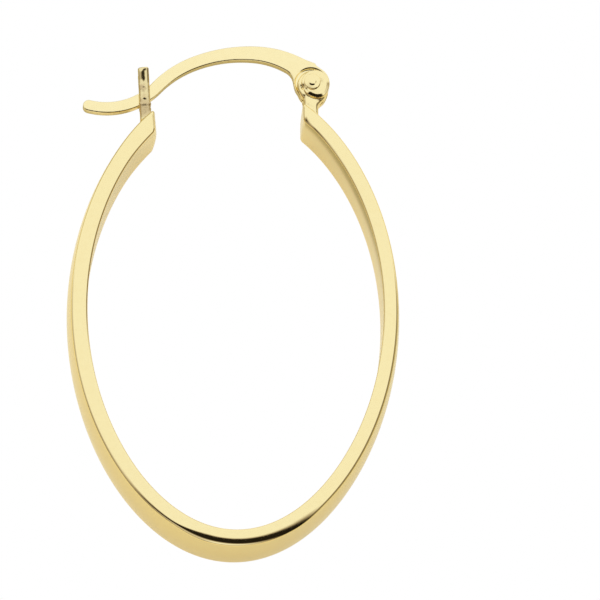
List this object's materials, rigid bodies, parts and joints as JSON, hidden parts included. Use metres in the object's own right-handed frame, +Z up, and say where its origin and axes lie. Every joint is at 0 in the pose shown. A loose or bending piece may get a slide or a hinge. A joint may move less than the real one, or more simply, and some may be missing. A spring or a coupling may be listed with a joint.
{
  "type": "oval earring",
  "caption": "Oval hoop earring of polished gold: a flat-sided band with an arched ear wire that turns on a riveted hinge and rests in a forked catch.",
  "frame": {"origin": "middle of the whole earring, on the surface that it lies on", "axes": "+Z up, across the band's width; +Y along the oval towards the ear wire; +X across the oval towards the hinge"},
  "size_m": [0.02, 0.0322, 0.004],
  "materials": {
    "polished_gold": "polished yellow gold"
  },
  "bodies": {
    "hoop": {"hoop": "polished_gold", "hinge_pin": "polished_gold"},
    "ear_wire": {"ear_wire": "polished_gold"}
  },
  "joints": [
    {"name": "wire_hinge", "type": "hinge", "parent": "hoop", "child": "ear_wire", "pos_m": [0.00481, 0.01371, 0.002], "axis": [0, 0, -1], "range_deg": [0, 90]}
  ]
}
